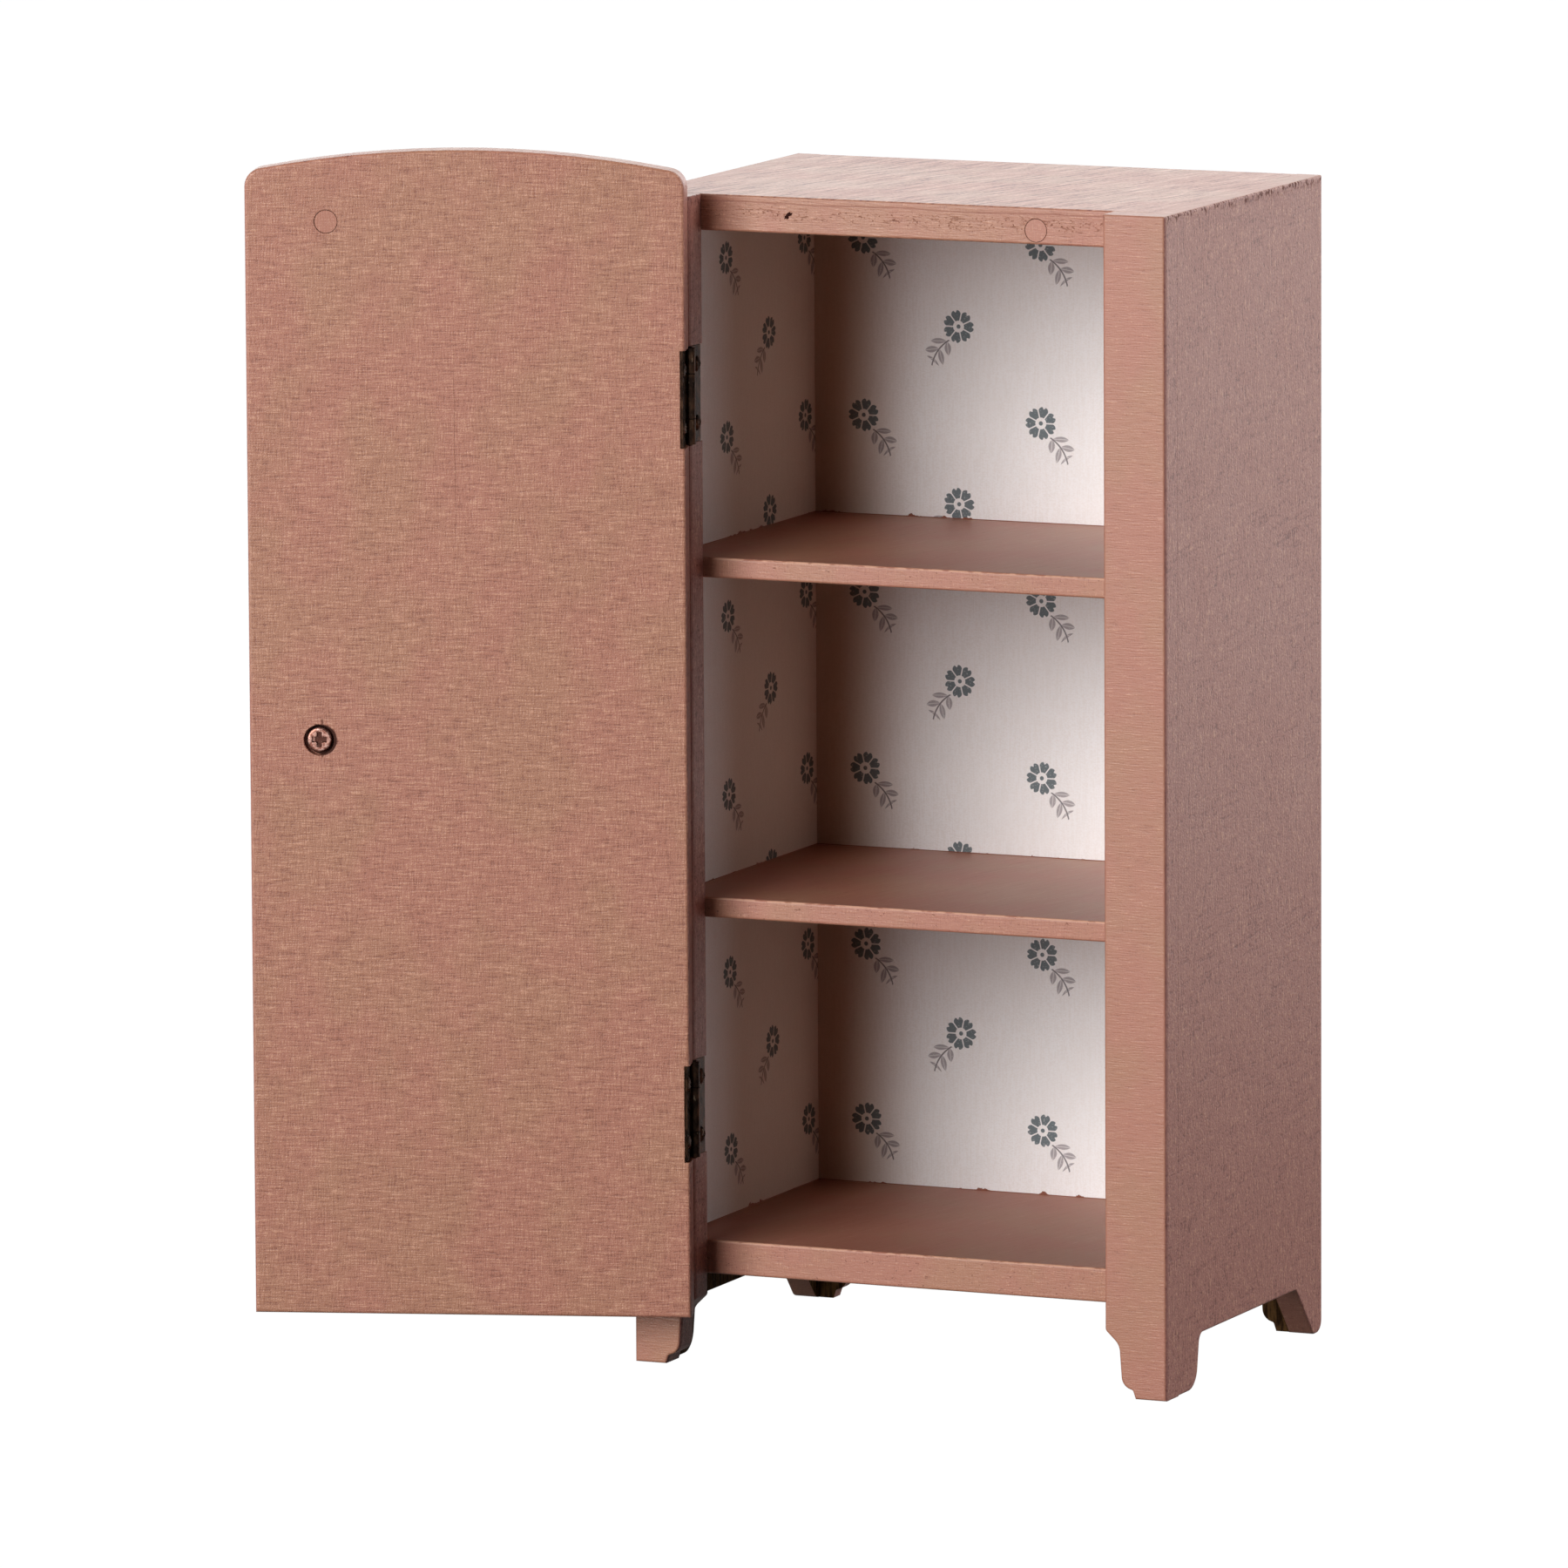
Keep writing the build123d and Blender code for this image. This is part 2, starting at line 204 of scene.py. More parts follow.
class Surface:
    """A material under construction, which knows the place and direction of each point."""

    def __init__(self, name, swings=False):
        self.material = bpy.data.materials.new(name)
        self.material.use_nodes = True
        self.tree = self.material.node_tree
        self.tree.nodes.clear()
        source = self.add("ShaderNodeTexCoord")
        place = self.add("ShaderNodeVectorMath", operation="SCALE")
        place.inputs["Scale"].default_value = 1 / MM
        self.tree.links.new(source.outputs["Object"], place.inputs[0])
        self.place = self.turned(place.outputs[0], hinge_place, swings)
        self.facing = self.turned(source.outputs["Normal"], (0, 0, 0), swings)
        self.x, self.y, self.z = self.split(self.place)
        self.facing_x, self.facing_y, self.facing_z = self.split(self.facing)

    def add(self, kind, **settings):
        """Adds a node."""
        node = self.tree.nodes.new(kind)
        for name, value in settings.items():
            setattr(node, name, value)
        return node

    def turned(self, socket, centre, swings):
        """The vector itself or, on the door, what it is with the door closed."""
        if not swings:
            return Field(self.tree, socket)
        node = self.add("ShaderNodeVectorRotate", rotation_type="Z_AXIS")
        self.tree.links.new(socket, node.inputs["Vector"])
        node.inputs["Center"].default_value = centre
        node.inputs["Angle"].default_value = door_open_angle
        return Field(self.tree, node.outputs[0])

    def split(self, vector):
        """The three components of a vector."""
        node = self.add("ShaderNodeSeparateXYZ")
        plug(self.tree, vector, node.inputs[0])
        return [Field(self.tree, output) for output in node.outputs]

    def noise(self, size, shift=0.0, turn=(0, 0, 0), detail=2.0, roughness=0.55):
        """Noise between 0 and 1. size is that of its features along X, Y and Z, in millimetres.

        turn is in degrees about X, Y and Z.
        """
        mapping = self.add("ShaderNodeMapping", vector_type="TEXTURE")
        plug(self.tree, self.place, mapping.inputs["Vector"])
        mapping.inputs["Location"].default_value = [shift * share for share in shift_shares]
        mapping.inputs["Rotation"].default_value = [math.radians(angle) for angle in turn]
        mapping.inputs["Scale"].default_value = size
        node = self.add("ShaderNodeTexNoise", noise_dimensions="3D")
        self.tree.links.new(mapping.outputs[0], node.inputs["Vector"])
        node.inputs["Scale"].default_value = 1.0
        node.inputs["Detail"].default_value = detail
        node.inputs["Roughness"].default_value = roughness
        return Field(self.tree, node.outputs["Fac"])

    def mix(self, factor, first, second, blend="MIX"):
        """The first colour where factor is 0 and the second where it is 1."""
        node = self.add("ShaderNodeMix", data_type="RGBA", blend_type=blend)
        plug(self.tree, factor, node.inputs[0])
        plug(self.tree, first, node.inputs[6])
        plug(self.tree, second, node.inputs[7])
        return Field(self.tree, node.outputs[2])

    def finish(self, colour, roughness, relief, depth, metallic=0.0, specular=0.5, soft_edge=0.0):
        """Makes the shader. depth, the relief's, and soft_edge, a radius, are in millimetres."""
        bump = self.add("ShaderNodeBump")
        if soft_edge:
            bevel = self.add("ShaderNodeBevel", samples=bevel_samples)
            bevel.inputs["Radius"].default_value = soft_edge * MM
            self.tree.links.new(bevel.outputs[0], bump.inputs["Normal"])
        bump.inputs["Distance"].default_value = depth * MM
        plug(self.tree, relief, bump.inputs["Height"])
        shader = self.add("ShaderNodeBsdfPrincipled")
        plug(self.tree, colour, shader.inputs["Base Color"])
        plug(self.tree, roughness, shader.inputs["Roughness"])
        plug(self.tree, metallic, shader.inputs["Metallic"])
        plug(self.tree, specular, shader.inputs["Specular IOR Level"])
        self.tree.links.new(bump.outputs[0], shader.inputs["Normal"])
        output = self.add("ShaderNodeOutputMaterial")
        self.tree.links.new(shader.outputs[0], output.inputs["Surface"])
        return self.material


# ---------------------------------------------------------------- painted wood

# Sizes of the marks along X, Y and Z, and how strongly they show.
level_stroke = (3.0, 3.0, 0.26)
upright_stroke = (0.26, 0.26, 2.2)
brush_fleck = (0.3, 0.3, 0.3)
stroke_contrast = 8.0
brush_fleck_contrast = 3.0
side_grain = (0.7, 0.5, 2.2)
side_fleck = (0.6, 0.5, 0.4)
side_contrast = 3.8
side_lightness = 0.08
slanting_stroke = (9, 9, 0.9)
slant = (4, 0, 0)
stroke_patch = (20, 20, 14)
rearward_grain = (9.0, 0.9, 1.0)
rearward_turn = (0, 0, 76)
rearward_contrast = 4.2
top_fleck = (0.7, 0.7, 0.7)
top_fleck_contrast = 2.2
paint_cloud = (18, 18, 24)
paint_relief = 0.03
paint_soft_edge = 0.3


def brush_marks(s, across_share=0.5):
    """Criss-cross brush marks on the faces that look forwards or backwards, from -1 to 1.

    across_share is how much of them runs level. The rest runs upright.
    """
    across = s.noise(level_stroke, shift=3, detail=1.5)
    upward = s.noise(upright_stroke, shift=17, detail=1.5)
    fine = s.noise(brush_fleck, shift=29, detail=1.0)
    marks = (across - 0.5) * across_share + (upward - 0.5) * (1 - across_share)
    return marks * stroke_contrast + (fine - 0.5) * brush_fleck_contrast


def wood_grain(s):
    """Upright grain under dark slanting brush strokes on the sides, from -1 to 1."""
    grain = s.noise(side_grain, shift=41)
    fine = s.noise(side_fleck, shift=47, detail=1.0)
    strokes = s.noise(slanting_stroke, shift=53, turn=slant, detail=2.5)
    patches = ramp(s.noise(stroke_patch, shift=59), 0.4, 0.6)
    dark_strokes = ramp(strokes, 0.52, 0.28) * (patches * 0.5 + 0.2)
    marks = (grain - 0.5) * side_contrast + (fine - 0.5) * side_contrast
    return marks + side_lightness - dark_strokes


def top_grain(s):
    """Grain that runs from front to rear on the top and the shelves, from -1 to 1."""
    grain = s.noise(rearward_grain, shift=61, turn=rearward_turn, detail=3.0)
    fine = s.noise(top_fleck, shift=67)
    return (grain - 0.5) * rearward_contrast + (fine - 0.5) * top_fleck_contrast


def faces_front(s):
    """1 on the faces that look forwards."""
    return ramp(s.facing_y, -0.5, -0.9)


def raw_inside(s):
    """1 on the unpainted wood under the bottom board, between the feet."""
    left, right = high("left_side_panel").x, low("right_side_panel").x
    underneath = ramp(s.z, low("bottom_board").z + 0.2, low("bottom_board").z - 0.4)
    between_sides = band(s.x, left - 0.15, right + 0.15, 0.05)
    behind_stiles = band(s.y, stile_rear_y - 0.2, low("back_panel").y + 0.2, 0.05)
    return underneath * between_sides * behind_stiles


def ply_marks(s):
    """Pits and cracks along the middle of the top board's front edge, from 0 to 1."""
    wander = (s.noise((30, 30, 30), shift=5) - 0.5) * 1.8
    layer = ramp(abs(s.z - top_middle_z - wander - 0.2), 2.3, 0.3)
    pits = ramp(s.noise((0.6, 0.6, 0.4), shift=71, detail=3.0), 0.56, 0.72)
    cracks = ramp(s.noise((1.8, 1.8, 0.35), shift=83, detail=3.0), 0.56, 0.74)
    return largest(pits * layer, cracks * layer * 0.8)


notch_x = middle_x - half_width * 0.445
notch_angle = math.radians(38)
notch_half_length = 0.9
notch_half_width = 0.36


def along_and_beside(across, up, angle):
    """Two fields turned so that the first runs along a line at the given angle."""
    along = across * math.cos(angle) + up * math.sin(angle)
    beside = up * math.cos(angle) - across * math.sin(angle)
    return along, beside


def notch(s):
    """A small chip knocked out of the top board's front edge, near the door, from 0 to 1."""
    along, beside = along_and_beside(s.x - notch_x, s.z - top_middle_z, notch_angle)
    ragged = (s.noise((0.4, 0.4, 0.4), shift=91, detail=3.0) - 0.5) * 2.6
    return ramp(length(along / notch_half_length, beside / notch_half_width) + ragged, 1.15, 0.85)


def painted_wood(
    name,
    swings=False,
    across_share=0.5,
    strength=1.0,
    level_strength=1.0,
    extra=None,
    shade_of=None,
):
    """Brushed paint over wood.

    strength is that of the brush marks, and level_strength that of the grain on level faces.
    extra(surface) may return more marks as (0 to 1, colour, how far they sink in), and
    shade_of(surface) how far the paint is made browner, darker and duller, from 0 to 1, mostly as
    painted shade.
    """
    s = Surface(name, swings)
    sideways = ramp(abs(s.facing_x), 0.5, 0.85)
    upwards = ramp(abs(s.facing_z), 0.5, 0.85)
    forwards = 1 - largest(sideways, upwards)
    brush = brush_marks(s, across_share) * strength
    grain = wood_grain(s)
    along = top_grain(s) * level_strength
    tone = brush * forwards * 0.5 + grain * sideways * 0.5 + along * upwards * 0.5
    cloud = s.noise(paint_cloud, shift=101, detail=4.0)
    paint = s.mix(ramp(cloud, 0.38, 0.62), terracotta_brown, terracotta_pink)
    # Painted sheen: faces that look sideways get the rosier paint.
    paint = s.mix(sideways, paint, painted_sheen_rosy)
    paint = s.mix(ramp(tone, -0.08, -0.75) * 0.8, paint, terracotta_dark)
    paint = s.mix(ramp(tone, 0.1, 0.75) * 0.85, paint, terracotta_light)
    dark_grain = ramp(grain, -0.4, -1.1) * sideways + ramp(along, -0.5, -1.1) * upwards
    paint = s.mix(dark_grain * 0.6, paint, grain_brown)
    relief = tone
    dull = tone * 0
    for marks, colour, sink in (extra(s) if extra else []):
        paint = s.mix(marks, paint, colour)
        relief = relief - marks * sink
        dull = largest(dull, marks)
    # Painted shade: where shade_of says, the paint is multiplied towards brown and made duller.
    if shade_of:
        shade = shade_of(s)
        paint = s.mix(shade, paint, painted_shade_brown, blend="MULTIPLY")
        dull = largest(dull, shade)
    roughness = 0.4 + tone * -0.05 + (cloud - 0.5) * 0.1 + dull * 0.4
    specular = 0.5 - dull * 0.4
    return s.finish(
        paint, roughness, relief, paint_relief, specular=specular, soft_edge=paint_soft_edge
    )


def bare_underside(s):
    """Unpainted wood where the brush didn't reach."""
    streaks = ramp(s.noise((0.9, 0.9, 6.0), shift=113, detail=3.0), 0.45, 0.62)
    bare = raw_inside(s)
    return [(bare * 0.92, raw_wood, 0.0), (bare * streaks, raw_wood_dark, 0.0)]


def worn_edges(s):
    """Dark nicks along the top edge of a side, its seam with the stile, and the stile's corner."""
    nicks = ramp(s.noise((1.0, 0.7, 1.3), shift=127, detail=3.0), 0.52, 0.6)
    near_top = ramp(s.z, height - 2.2, height - 0.5) * ramp(abs(s.facing_x), 0.2, 0.7)
    sideways = ramp(abs(s.facing_x), 0.5, 0.8)
    seam = ramp(abs(s.y - stile_rear_y), 0.14, 0.03) * sideways
    corner = ramp(s.y, front_y + 1.4, front_y + 0.9) * sideways
    return [
        (near_top * nicks * 0.8, pit_brown, 1.5),
        (seam * 0.12, grain_brown, 0.2),
        (corner * 0.4, grain_brown, 0.0),
    ]


def hinge_rebate_shade(s):
    """Painted shade in the rebates where the hinges are let into the stile."""
    near = [band(s.z, low(leaf).z - 0.1, high(leaf).z + 0.1, 0.05) for leaf in frame_leaves]
    stile_face_x = high("left_stile").x
    recessed = ramp(s.x, stile_face_x - 0.2, stile_face_x - 0.4)
    return largest(*near) * recessed * ramp(s.facing_x, 0.5, 0.9)


def side_marks(s):
    """Marks of the sides and the right stile."""
    return bare_underside(s) + worn_edges(s)


def left_stile_marks(s):
    """The same, with painted shade in the hinges' rebates."""
    # Painted shade in the hinge rebates, near black.
    return side_marks(s) + [(hinge_rebate_shade(s) * 0.8, hollow_shade_black, 0.0)]


def top_marks(s):
    """Pits, one fine wavering line near the top, and the chip in the top board's front edge."""
    forwards = faces_front(s)
    wander = (s.noise((14, 14, 14), shift=93) - 0.5) * 0.9
    layer = ramp(abs(s.z - height + 1.2 + wander), 0.22, 0.08)
    return [
        (ply_marks(s) * forwards * 0.62, pit_brown, 2.0),
        (layer * forwards * 0.3, grain_brown, 0.5),
        # The chip is painted near black, for the shade in its hollow.
        (notch(s) * forwards, hollow_shade_black, 5.0),
    ]


def painted_back_shade(s):
    """Painted shade on the back next to the dark left corner, from 0 to 1."""
    return ramp(s.x - high("left_side_panel").x, 24.0, 3.0)


def painted_left_shade(s):
    """Painted shade on the left side, deeper away from the door opening, from 0 to 1."""
    return ramp(s.y - stile_rear_y, 9.0, 34.0) * 0.85


def board_shade(s):
    """Painted shade on the boards' upper faces, mostly at the rear, and the bottom board darker all
    over, from 0 to 1.
    """
    upwards = ramp(s.facing_z, 0.5, 0.85)
    # Painted shade near the dark rear left corner, and the bottom board's upper face darker all
    # over.
    rear_corner = painted_back_shade(s) * (ramp(s.y, stile_rear_y, rear_y) * 0.5 + 0.2)
    bottom_z = high("bottom_board").z
    lowest = ramp(s.z, bottom_z + 2, bottom_z + 1) * 0.25
    return largest(rear_corner, lowest) * upwards


def board_marks(s):
    """Small dark pits on the boards' front edges, and a painted highlight along the top of each."""
    pits = ramp(s.noise((0.9, 0.9, 0.6), shift=131, detail=3.0), 0.66, 0.72)
    # Painted highlight along each board's front top edge, broken up by noise.
    edge = ramp(s.y, stile_rear_y + 0.9, stile_rear_y + 0.1) * ramp(s.facing_z, 0.1, 0.5)
    edge = edge * ramp(s.noise((2.5, 1, 1), shift=133, detail=3.0), 0.38, 0.55)
    return bare_underside(s) + [
        (pits * faces_front(s) * 0.5, pit_brown, 1.0),
        (edge * 0.6, painted_edge_highlight, 0.0),
    ]


well_radius = 2.85
crack_offset = 2.0


def door_marks(s):
    """The ragged rim of the knob screw's counterbore, two small splits, and a hairline crack."""
    inner = ramp(s.facing_y, 0.5, 0.9)
    across = s.x - knob_place.x
    up = s.z - knob_place.z
    radius = length(across, up)
    ragged = (s.noise((0.7, 0.7, 0.7), shift=137, detail=3.0) - 0.5) * 1.5
    rim = ramp(radius + ragged * 0.5, well_radius + 0.25, well_radius)
    split = ramp(abs(across + ragged * 0.3 + 0.2), 0.3, 0.1) * ramp(abs(up - 0.3), 3.9, 3.3)
    # The counterbore's inside is painted near black: bare wood and painted shade together.
    well = ramp(radius, well_radius + 0.05, well_radius - 0.05)
    wander = (s.noise((9, 9, 9), shift=139) - 0.5) * 1.6
    crack = ramp(abs(s.x - door_middle.x - crack_offset + wander), 0.1, 0.02)
    crack_ends = band(s.z, height * 0.72, height * 0.86, 6.0)
    return [
        (largest(rim, split) * inner * 0.7, pit_brown, 2.0),
        (well * 0.8, hollow_shade_black, 0.0),
        (crack * crack_ends * inner * 0.4, pit_brown, 1.0),
    ]


def painted_magnet(name, swings=False):
    """Catch magnet with a smoother coat of the same paint."""
    s = Surface(name, swings)
    brush = brush_marks(s, 0.4)
    cloud = s.noise((5, 5, 5), shift=149)
    paint = s.mix(ramp(cloud, 0.35, 0.65), terracotta, terracotta_pink)
    paint = s.mix(ramp(brush, 0.0, 1.2) * 0.35, paint, terracotta_light)
    return s.finish(paint, 0.42 + (cloud - 0.5) * 0.1, brush, depth=0.01)


# ---------------------------------------------------------------- printed lining

# The print's repeat and the drawing of one flower, in millimetres.
print_column = 18.25
print_row = 33.9
print_drop = 16.2
print_first_row = 204.9
back_first_column = middle_x - 37.8
side_first_column = front_y + 33.6
head_offset = 0.7
petal_count = 7
petal_reach = 3.25
petal_notch = 0.45
petal_rounding = 0.9
stem_start = 3.3
stem_end = 9.4
stem_angle = math.radians(-54)
stem_bend = 0.07
first_leaf = 0.4
leafless_tip = 1.2
leaf_spacing = 2.15
leaf_length = 3.2
leaf_width = 0.68
leaf_angle = math.radians(48)


def flower_head(across, up):
    """Ink of a flower whose middle is where both fields are 0."""
    radius = length(across, up)
    turn = up.operate("ARCTAN2", across) * (petal_count / (2 * math.pi))
    from_petal = abs(turn.operate("FRACT") - 0.5) * 2
    reach = petal_reach - ramp(from_petal, 0.3, 0.0) * petal_notch
    reach = reach - from_petal * from_petal * from_petal * petal_rounding
    petals = ramp(reach - radius, 0.0, 0.16)
    gap = (1 - from_petal) * radius * (math.pi / petal_count)
    petals = petals * ramp(gap, 0.04, 0.2) * ramp(radius, 1.06, 1.2)
    return largest(petals, ramp(radius, 0.48, 0.34))


def sprig(across, up):
    """Inks of the leaves and the stem that hang from a flower head."""
    along, beside = along_and_beside(across, up, stem_angle)
    beside = beside + (along - stem_start) * (along - stem_end) * stem_bend
    stem = ramp(abs(beside), 0.2, 0.1) * band(along, stem_start, stem_end, 0.1)
    leaves_start = stem_start + first_leaf
    leaves_end = leaves_start + stem_end - stem_start - leafless_tip
    step = (along - leaves_start) / leaf_spacing
    from_joint = step.operate("FRACT") * leaf_spacing
    leaf_along, leaf_beside = along_and_beside(from_joint, abs(beside), leaf_angle)
    share = leaf_along / leaf_length
    edge = share * (1 - share) * (4 * leaf_width)
    leaves = ramp(edge - abs(leaf_beside), 0.0, 0.18)
    vein = 1 - ramp(abs(leaf_beside), 0.12, 0.04) * 0.55
    inside = band(along, leaves_start, leaves_end, 0.02)
    return leaves * vein * inside, stem


def lining_paper(name, across_of, first_column, shade_of=None):
    """Cream paper with rows of small flowers.

    across_of(surface) is the distance along the wall, and every second column of flowers drops
    and is mirrored. shade_of(surface) is how much painted shade lies on it, from 0 to 1.
    """
    s = Surface(name)
    across = across_of(s) - first_column
    column = (across / print_column + 0.5).operate("FLOOR")
    odd = (column * 0.5).operate("FRACT") * 2
    side = 1 - odd * 2
    across = (across - column * print_column) * side + head_offset
    up = s.z - print_first_row + odd * print_drop
    row = (up / print_row + 0.5).operate("FLOOR")
    up = up - row * print_row
    fibre = s.noise((0.5, 0.5, 0.28), shift=151, detail=3.0)
    weave = s.noise((0.25, 0.25, 3.5), shift=157)
    cloud = s.noise((17, 17, 17), shift=163)
    worn = 1 - ramp(fibre, 0.56, 0.72) * 0.35
    leaves, stem = sprig(across, up)
    paper = s.mix(ramp(fibre * 0.6 + weave * 0.4, 0.4, 0.62), cream, cream_shade)
    paper = s.mix(ramp(cloud, 0.4, 0.7) * 0.3, paper, cream_shade)
    paper = s.mix(leaves * worn * 0.85, paper, sprig_ink)
    paper = s.mix(stem * worn * 0.9, paper, stem_ink)
    paper = s.mix(flower_head(across, up) * worn, paper, petal_ink)
    # Painted shade, multiplied in where shade_of says.
    if shade_of:
        paper = s.mix(shade_of(s), paper, painted_shade_brown, blend="MULTIPLY")
    paint = paint_smears(s)
    paper = s.mix(paint, paper, terracotta_dark)
    relief = fibre * 0.6 + weave * 0.3 + paint * 2
    return s.finish(paper, 0.75 + (fibre - 0.5) * 0.2, relief, depth=0.012, specular=0.3)


def paint_smears(s):
    """Ragged paint on the paper just above each board."""
    jagged = s.noise((4.5, 4.5, 4.5), shift=167, detail=4.0, roughness=0.6)
    reach = 0.2 + ramp(jagged, 0.57, 0.8) * 1.4
    smears = [ramp(reach - abs(s.z - high(board).z), 0.0, 0.12) for board in boards]
    return largest(*smears)


# ---------------------------------------------------------------- metal

def aged_brass(name, swings=False):
    """Almost black brass with brighter rubbed patches."""
    s = Surface(name, swings)
    patina = s.noise((1.6, 1.6, 2.4), shift=173, detail=4.0)
    rubbed = s.noise((0.5, 0.5, 1.6), shift=179, detail=3.0)
    metal = s.mix(ramp(patina, 0.38, 0.62), bronze_black, bronze)
    metal = s.mix(ramp(rubbed, 0.66, 0.74) * 0.45, metal, bronze_bright)
    roughness = 0.2 + patina * 0.2
    return s.finish(
        metal, roughness, patina, depth=0.015, metallic=0.65, specular=0.15, soft_edge=0.12
    )


slot_reach = 1.5


def rubbed_screw(name, swings=False):
    """Copper-brown screw with touches of paint, dark in its cross slot."""
    s = Surface(name, swings)
    patina = s.noise((0.6, 0.6, 0.6), shift=181, detail=4.0)
    metal = s.mix(ramp(patina, 0.4, 0.62), copper_dark, copper)
    paint = ramp(s.noise((1.1, 1.1, 1.1), shift=191, detail=3.0), 0.5, 0.6)
    metal = s.mix(paint * 0.35, metal, terracotta_pink)
    radius = length(s.x - knob_place.x, s.z - knob_place.z)
    slot = ramp(s.y - screw_top, -0.1, -0.35) * ramp(radius, slot_reach, slot_reach - 0.1)
    metal = s.mix(slot * 0.95, metal, pit_brown)
    return s.finish(metal, 0.16 + patina * 0.2, patina, depth=0.02, metallic=0.75, soft_edge=0.3)


# ---------------------------------------------------------------- giving pieces their finish

def dress(material, *nodes):
    """Gives a finish to pieces of the frame."""
    for name in nodes:
        mesh = frame["nodes"][name].data
        mesh.materials.clear()
        mesh.materials.append(material)


def dress_all():
    """Every piece gets its finish."""
    for stile, marks in (("right_stile", side_marks), ("left_stile", left_stile_marks)):
        paint = painted_wood(f"{stile}_paint", across_share=0.75, strength=0.5, extra=marks)
        dress(paint, stile)
    dress(painted_wood("side_paint", extra=side_marks), "right_side_panel", "left_side_panel")
    dress(painted_wood("back_paint", extra=bare_underside), "back_panel")
    top_paint = painted_wood(
        "top_paint", across_share=0.75, strength=0.6, level_strength=1.5, extra=top_marks
    )
    dress(top_paint, "top_board")
    board_paint = painted_wood(
        "board_paint", strength=0.6, level_strength=0.55, extra=board_marks, shade_of=board_shade
    )
    dress(board_paint, *boards)
    door_paint = painted_wood("door_paint", swings=True, across_share=0.6, extra=door_marks)
    dress(door_paint, "door_panel")
    dress(painted_magnet("frame_magnet_paint"), "frame_magnet")
    dress(painted_magnet("door_magnet_paint", swings=True), "door_magnet")
    for wall, across_of, first_column, shade_of in (
        ("back", lambda s: s.x, back_first_column, painted_back_shade),
        ("left", lambda s: s.y, side_first_column, painted_left_shade),
        ("right", lambda s: s.y, side_first_column, None),
    ):
        paper = lining_paper(f"{wall}_lining", across_of, first_column, shade_of)
        dress(paper, f"{wall}_lining_paper")
    frame_brass = aged_brass("frame_hinge_brass")
    door_brass = aged_brass("door_hinge_brass", swings=True)
    for place in ("upper_hinge", "lower_hinge"):
        dress(frame_brass, f"{place}_frame_leaf", f"{place}_frame_screws", f"{place}_pin")
        dress(door_brass, f"{place}_door_leaf", f"{place}_door_screws")
    dress(door_brass, "door_knob")
    dress(rubbed_screw("knob_screw_metal", swings=True), "door_knob_screw")


# ---------------------------------------------------------------- studio

# Distances, lights' sizes and the floor's are in metres, the lens and the sensor in millimetres.
camera_azimuth = math.radians(23.875)
camera_elevation = math.radians(8.443)
camera_roll = math.radians(-0.303)
camera_distance = 2.7867
camera_lens = 344.6
camera_target = Vector((middle_x - 22.72, front_y, 111.17)) * MM
sensor_width = 36
camera_reach = 50
stage_centre = Vector((middle_x, (front_y + rear_y) / 2, height / 2)) * MM
sweep_light = 1.5
front_light = 0.01
sheen_boost = 0.8
floor_size = 16
floor_drop = 0.05 * MM
floor_grey = (0.12, 0.12, 0.12, 1)
floor_whiteness = 0.85
floor_seen = 1.18
near_mirrored = 0.2
far_mirrored = 1.35


def direction(azimuth, elevation):
    """Unit vector from the wardrobe. Azimuth 0 is straight in front and 90 is on its right."""
    return Vector((
        math.sin(azimuth) * math.cos(elevation),
        -math.cos(azimuth) * math.cos(elevation),
        math.sin(elevation),
    ))


def place_camera():
    """Long lens, to the right of the front and a little above."""
    back = direction(camera_azimuth, camera_elevation)
    level_right = Vector((0, 0, 1)).cross(back).normalized()
    level_up = back.cross(level_right)
    right = math.cos(camera_roll) * level_right + math.sin(camera_roll) * level_up
    up = math.cos(camera_roll) * level_up - math.sin(camera_roll) * level_right
    data = bpy.data.cameras.new("camera")
    data.lens = camera_lens
    data.sensor_width = sensor_width
    data.clip_end = camera_reach
    camera = bpy.data.objects.new("camera", data)
    bpy.context.scene.collection.objects.link(camera)
    turn = Matrix((right, up, back)).transposed().to_4x4()
    camera.matrix_world = Matrix.Translation(camera_target + back * camera_distance) @ turn
    bpy.context.scene.camera = camera


def soft_light(name, azimuth, elevation, distance, size, power):
    """Square area light that faces the wardrobe. Angles are in degrees and sizes in metres."""
    data = bpy.data.lights.new(name, "AREA")
    data.shape = "SQUARE"
    data.size = size
    data.energy = power
    light = bpy.data.objects.new(name, data)
    bpy.context.scene.collection.objects.link(light)
    out = direction(math.radians(azimuth), math.radians(elevation))
    light.location = stage_centre + out * distance
    light.rotation_mode = "QUATERNION"
    light.rotation_quaternion = out.to_track_quat("Z", "Y")


def coordinates(tree, kind):
    """Three fields of one kind of texture coordinates."""
    source = tree.nodes.new("ShaderNodeTexCoord")
    parts = tree.nodes.new("ShaderNodeSeparateXYZ")
    tree.links.new(source.outputs[kind], parts.inputs[0])
    return [Field(tree, part) for part in parts.outputs]


def ray_kinds(tree):
    """Two fields: 1 for what the camera sees itself, and 1 for what is seen mirrored."""
    path = tree.nodes.new("ShaderNodeLightPath")
    return Field(tree, path.outputs["Is Camera Ray"]), Field(tree, path.outputs["Is Glossy Ray"])


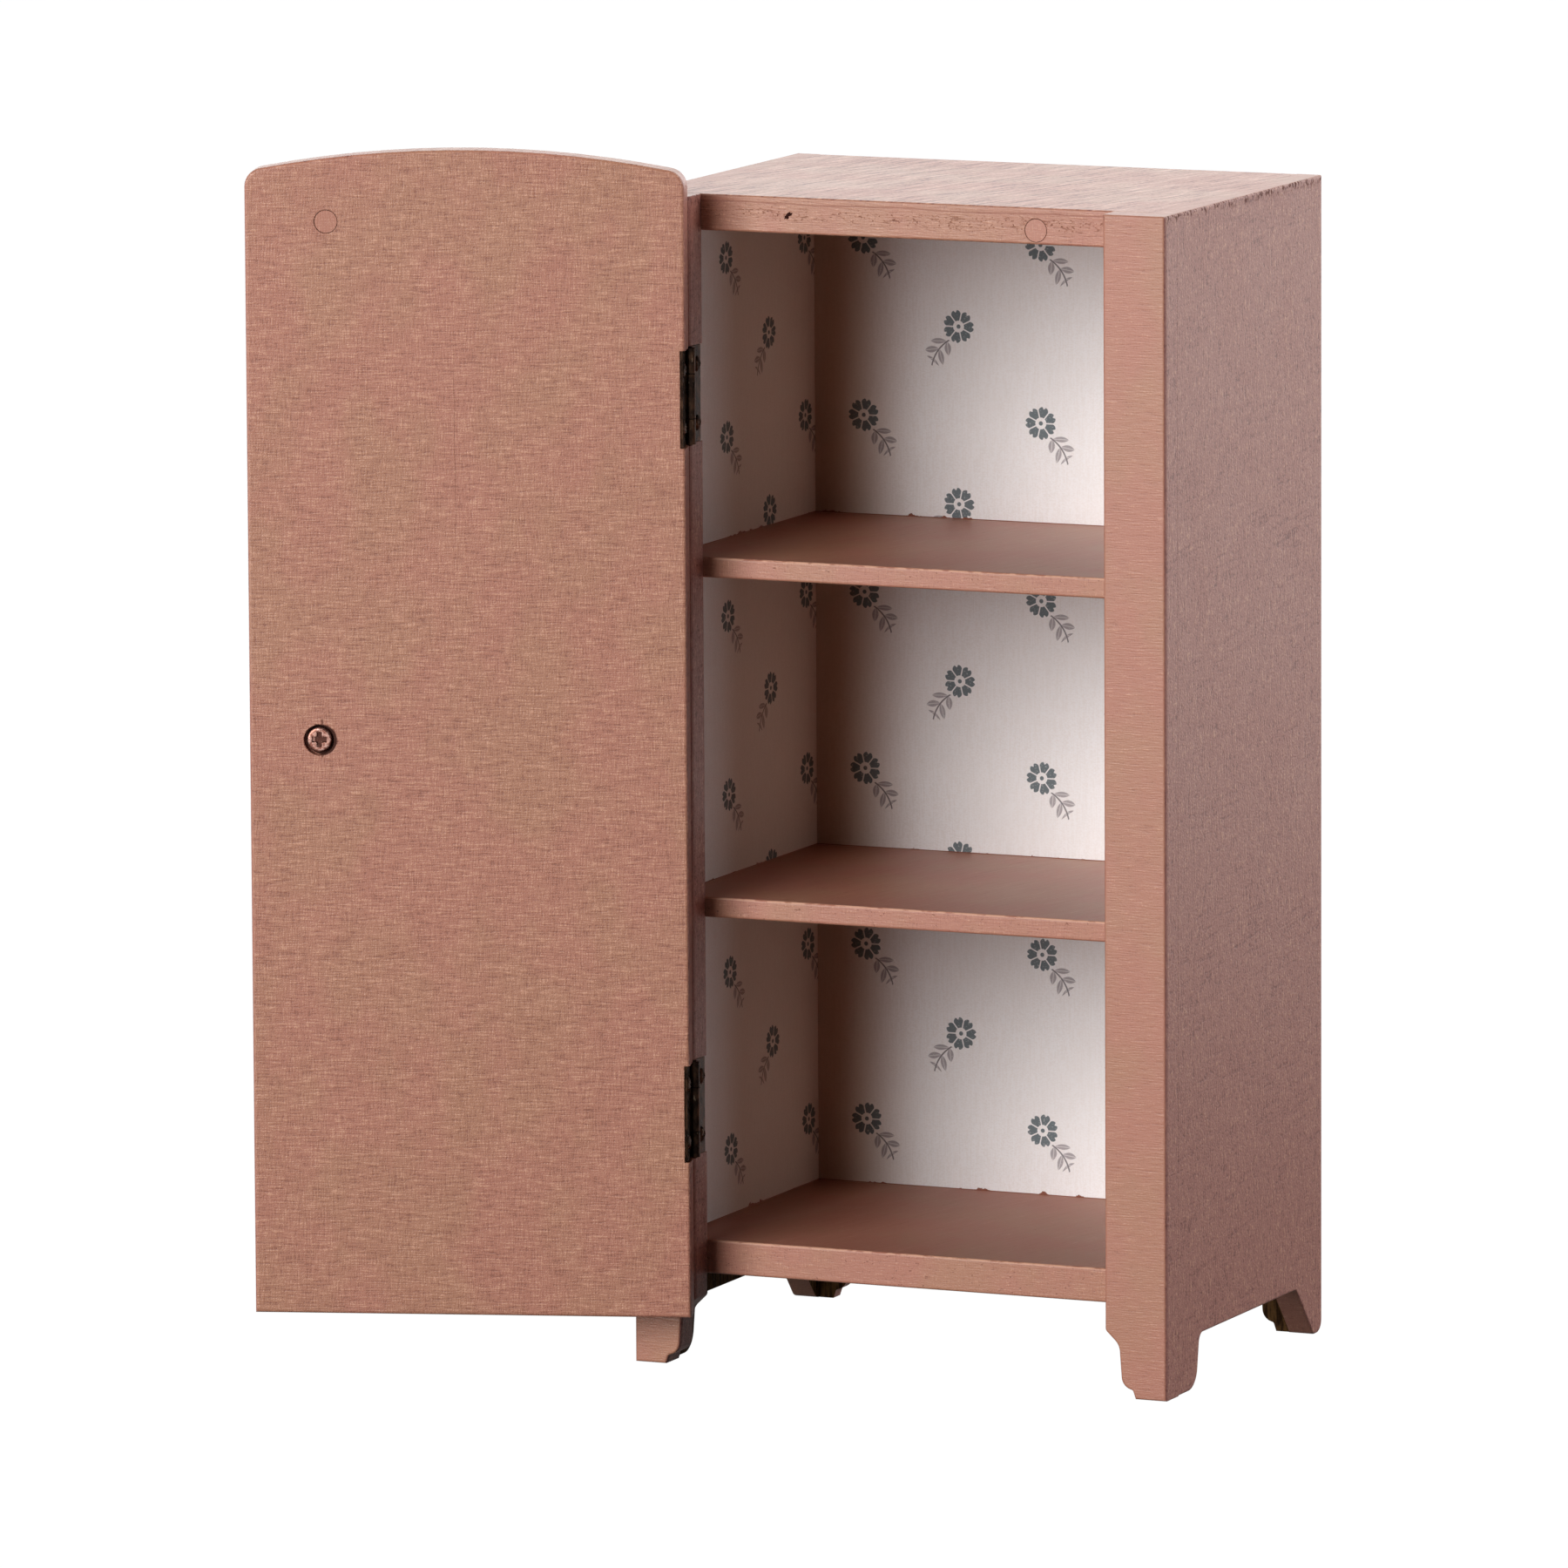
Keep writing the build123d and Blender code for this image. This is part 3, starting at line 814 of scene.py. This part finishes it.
def light_world():
    """White to the camera. It lights the wardrobe mostly from behind, like a studio sweep."""
    world = bpy.data.worlds.new("studio")
    world.use_nodes = True
    tree = world.node_tree
    tree.nodes.clear()
    backwards, upwards = coordinates(tree, "Generated")[1:]
    rear = ramp(backwards, -0.05, 0.55)
    overhead = ramp(upwards, 0.15, 0.9)
    strength = rear * (1 - overhead * 0.7) * sweep_light + front_light
    seen, mirrored = ray_kinds(tree)
    strength = strength * (1 + mirrored * sheen_boost) * (1 - seen) + seen
    background = tree.nodes.new("ShaderNodeBackground")
    plug(tree, strength, background.inputs["Strength"])
    output = tree.nodes.new("ShaderNodeOutputWorld")
    tree.links.new(background.outputs[0], output.inputs["Surface"])
    bpy.context.scene.world = world


def pale_floor():
    """Plain floor, lifted towards white for the camera, and dim near the wardrobe in mirrors."""
    bpy.ops.mesh.primitive_plane_add(size=floor_size, location=(0, 0, -floor_drop))
    floor = bpy.context.object
    floor.name = "floor"
    material = bpy.data.materials.new("pale_floor")
    material.use_nodes = True
    tree = material.node_tree
    tree.nodes.clear()
    matt = tree.nodes.new("ShaderNodeBsdfDiffuse")
    matt.inputs["Color"].default_value = floor_grey
    glow = tree.nodes.new("ShaderNodeEmission")
    across, backwards = coordinates(tree, "Object")[:2]
    far = ramp(length(across - stage_centre.x, backwards - stage_centre.y), 0.1, 1.3)
    seen, mirrored = ray_kinds(tree)
    strength = seen * floor_seen + mirrored * (far * far_mirrored + near_mirrored)
    plug(tree, strength, glow.inputs["Strength"])
    mix = tree.nodes.new("ShaderNodeMixShader")
    plug(tree, (seen + mirrored) * floor_whiteness, mix.inputs[0])
    tree.links.new(matt.outputs[0], mix.inputs[1])
    tree.links.new(glow.outputs[0], mix.inputs[2])
    output = tree.nodes.new("ShaderNodeOutputMaterial")
    tree.links.new(mix.outputs[0], output.inputs["Surface"])
    floor.data.materials.append(material)


dress_all()
place_camera()
light_world()
pale_floor()
soft_light("key", azimuth=-17, elevation=17, distance=2.6, size=1.76, power=74.0)
soft_light("upper_right", azimuth=115, elevation=40, distance=1.3, size=0.9, power=8.0)
bpy.context.scene.view_settings.view_transform = "Standard"
